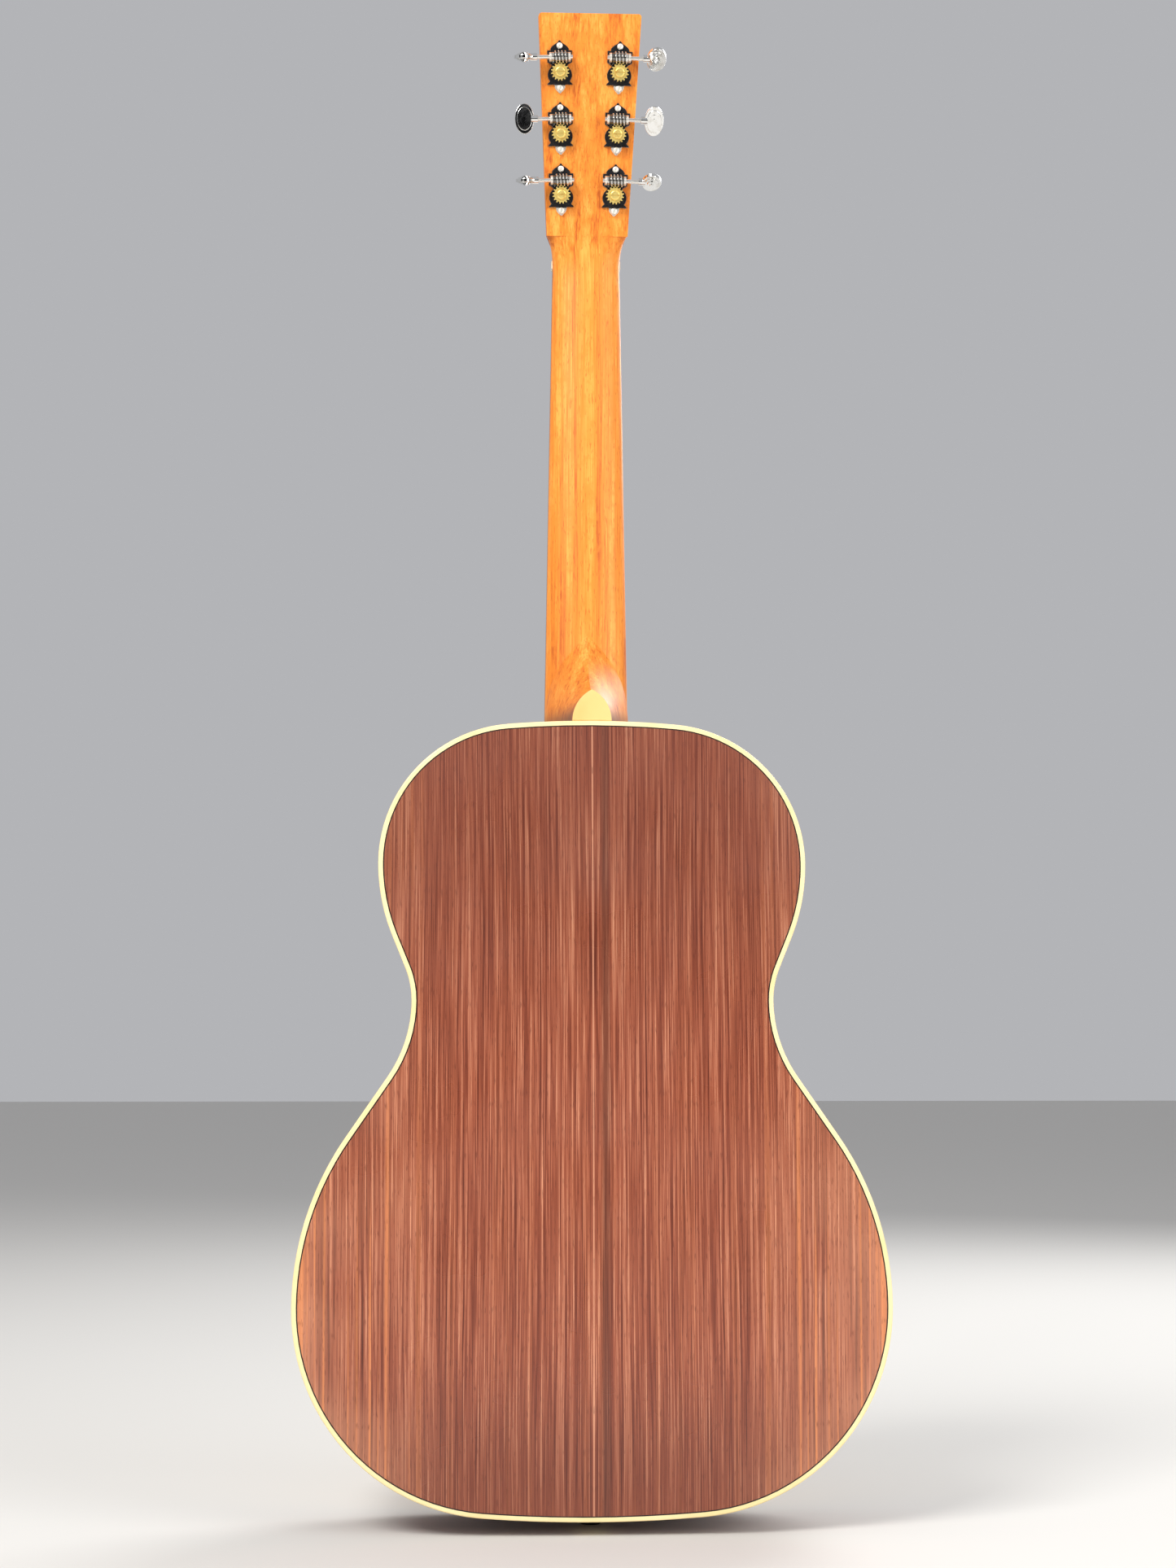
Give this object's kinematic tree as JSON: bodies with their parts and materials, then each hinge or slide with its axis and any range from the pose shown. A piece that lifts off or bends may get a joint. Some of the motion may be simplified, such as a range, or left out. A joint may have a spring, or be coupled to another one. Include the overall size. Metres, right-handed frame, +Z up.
{
  "type": "acoustic guitar",
  "caption": "Flat-top acoustic guitar with a hollow wooden body, a fretted neck and open-geared tuners, for plucked steel strings.",
  "frame": {"origin": "strap pin's centre on the outside of the tail", "axes": "+Z up along the neck, -Y out of the soundboard, +Y out of the back, +X the treble side"},
  "size_m": [0.381, 0.1187, 1.0038],
  "materials": {
    "spruce_top": "satin lacquer, straight fine grain",
    "rosette_rings": "gloss",
    "rosewood": "satin lacquer, straight grain",
    "rosewood_veneer": "gloss lacquer",
    "cream_binding": "gloss",
    "black_line": "gloss",
    "ebony": "satin",
    "ebony_pins": "polished",
    "mahogany_inner": "bare",
    "spruce_braces": "bare",
    "maple": "bare",
    "mahogany_neck": "satin lacquer, amber",
    "steel": "plain",
    "fret_wire": "polished",
    "pearl": "polished",
    "bone": "polished",
    "bronze_strings": "wound",
    "steel_strings": "drawn",
    "nickel": "polished nickel plate",
    "brass_gear": "polished"
  },
  "bodies": {
    "guitar": {"soundboard": "spruce_top", "rosette": "rosette_rings", "back_bass": "rosewood", "back_treble": "rosewood", "top_binding": "cream_binding", "back_binding": "cream_binding", "top_purfling": "black_line", "back_purfling": "black_line", "side_bass": "rosewood", "side_treble": "rosewood", "end_graft": "cream_binding", "end_pin": "ebony", "neck_block": "mahogany_inner", "tail_block": "mahogany_inner", "linings": "mahogany_inner", "top_braces": "spruce_braces", "bridge_plate": "maple", "back_braces": "spruce_braces", "back_seam_strip": "spruce_braces", "neck": "mahogany_neck", "heel_cap": "cream_binding", "headstock_veneer": "rosewood_veneer", "truss_rod": "steel", "fingerboard": "ebony", "frets": "fret_wire", "position_dots": "pearl", "nut": "bone", "bridge": "ebony", "saddle": "bone", "bridge_pins": "ebony_pins", "wound_strings": "bronze_strings", "plain_strings": "steel_strings", "tuner_plates": "nickel", "plate_screws": "nickel", "tuner_bushings": "nickel"},
    "rod_nut": {"truss_rod_nut": "steel"},
    "worm_bass_low": {"worm_shaft_bass_low": "nickel", "tuner_button_bass_low": "nickel"},
    "post_bass_low": {"worm_gear_bass_low": "brass_gear", "string_post_bass_low": "nickel"},
    "worm_bass_middle": {"worm_shaft_bass_middle": "nickel", "tuner_button_bass_middle": "nickel"},
    "post_bass_middle": {"worm_gear_bass_middle": "brass_gear", "string_post_bass_middle": "nickel"},
    "worm_bass_high": {"worm_shaft_bass_high": "nickel", "tuner_button_bass_high": "nickel"},
    "post_bass_high": {"worm_gear_bass_high": "brass_gear", "string_post_bass_high": "nickel"},
    "worm_treble_low": {"worm_shaft_treble_low": "nickel", "tuner_button_treble_low": "nickel"},
    "post_treble_low": {"worm_gear_treble_low": "brass_gear", "string_post_treble_low": "nickel"},
    "worm_treble_middle": {"worm_shaft_treble_middle": "nickel", "tuner_button_treble_middle": "nickel"},
    "post_treble_middle": {"worm_gear_treble_middle": "brass_gear", "string_post_treble_middle": "nickel"},
    "worm_treble_high": {"worm_shaft_treble_high": "nickel", "tuner_button_treble_high": "nickel"},
    "post_treble_high": {"worm_gear_treble_high": "brass_gear", "string_post_treble_high": "nickel"}
  },
  "joints": [
    {"name": "worm_bass_low_turn", "type": "hinge", "parent": "guitar", "child": "worm_bass_low", "pos_m": [-0.01843, -0.01721, 0.88226], "axis": [-0.9997, -0.0064, -0.0225], "continuous": true},
    {"name": "post_bass_low_turn", "type": "hinge", "parent": "guitar", "child": "post_bass_low", "pos_m": [-0.0182, -0.02582, 0.87474], "axis": [0, 0.9613, -0.2756], "continuous": true},
    {"name": "worm_bass_middle_turn", "type": "hinge", "parent": "guitar", "child": "worm_bass_middle", "pos_m": [-0.01937, -0.00602, 0.92129], "axis": [-0.9997, -0.0064, -0.0225], "continuous": true},
    {"name": "post_bass_middle_turn", "type": "hinge", "parent": "guitar", "child": "post_bass_middle", "pos_m": [-0.01915, -0.01462, 0.91377], "axis": [0, 0.9613, -0.2756], "continuous": true},
    {"name": "worm_bass_high_turn", "type": "hinge", "parent": "guitar", "child": "worm_bass_high", "pos_m": [-0.02032, 0.00517, 0.96031], "axis": [-0.9997, -0.0064, -0.0225], "continuous": true},
    {"name": "post_bass_high_turn", "type": "hinge", "parent": "guitar", "child": "post_bass_high", "pos_m": [-0.0201, -0.00343, 0.9528], "axis": [0, 0.9613, -0.2756], "continuous": true},
    {"name": "worm_treble_low_turn", "type": "hinge", "parent": "guitar", "child": "worm_treble_low", "pos_m": [0.01843, -0.01721, 0.88226], "axis": [0.9997, -0.0064, -0.0225], "continuous": true},
    {"name": "post_treble_low_turn", "type": "hinge", "parent": "guitar", "child": "post_treble_low", "pos_m": [0.0182, -0.02582, 0.87474], "axis": [0, 0.9613, -0.2756], "continuous": true},
    {"name": "worm_treble_middle_turn", "type": "hinge", "parent": "guitar", "child": "worm_treble_middle", "pos_m": [0.01937, -0.00602, 0.92129], "axis": [0.9997, -0.0064, -0.0225], "continuous": true},
    {"name": "post_treble_middle_turn", "type": "hinge", "parent": "guitar", "child": "post_treble_middle", "pos_m": [0.01915, -0.01462, 0.91377], "axis": [0, 0.9613, -0.2756], "continuous": true},
    {"name": "worm_treble_high_turn", "type": "hinge", "parent": "guitar", "child": "worm_treble_high", "pos_m": [0.02032, 0.00517, 0.96031], "axis": [0.9997, -0.0064, -0.0225], "continuous": true},
    {"name": "post_treble_high_turn", "type": "hinge", "parent": "guitar", "child": "post_treble_high", "pos_m": [0.0201, -0.00343, 0.9528], "axis": [0, 0.9613, -0.2756], "continuous": true},
    {"name": "rod_nut_turn", "type": "hinge", "parent": "guitar", "child": "rod_nut", "pos_m": [0, -0.0451, 0.476], "axis": [0, 0, 1], "range_deg": [-180, 180]}
  ],
  "couplings": [
    {"joint": "post_bass_low_turn", "follows": "worm_bass_low_turn", "ratio": 0.0625},
    {"joint": "post_bass_middle_turn", "follows": "worm_bass_middle_turn", "ratio": 0.0625},
    {"joint": "post_bass_high_turn", "follows": "worm_bass_high_turn", "ratio": 0.0625},
    {"joint": "post_treble_low_turn", "follows": "worm_treble_low_turn", "ratio": -0.0625},
    {"joint": "post_treble_middle_turn", "follows": "worm_treble_middle_turn", "ratio": -0.0625},
    {"joint": "post_treble_high_turn", "follows": "worm_treble_high_turn", "ratio": -0.0625}
  ]
}
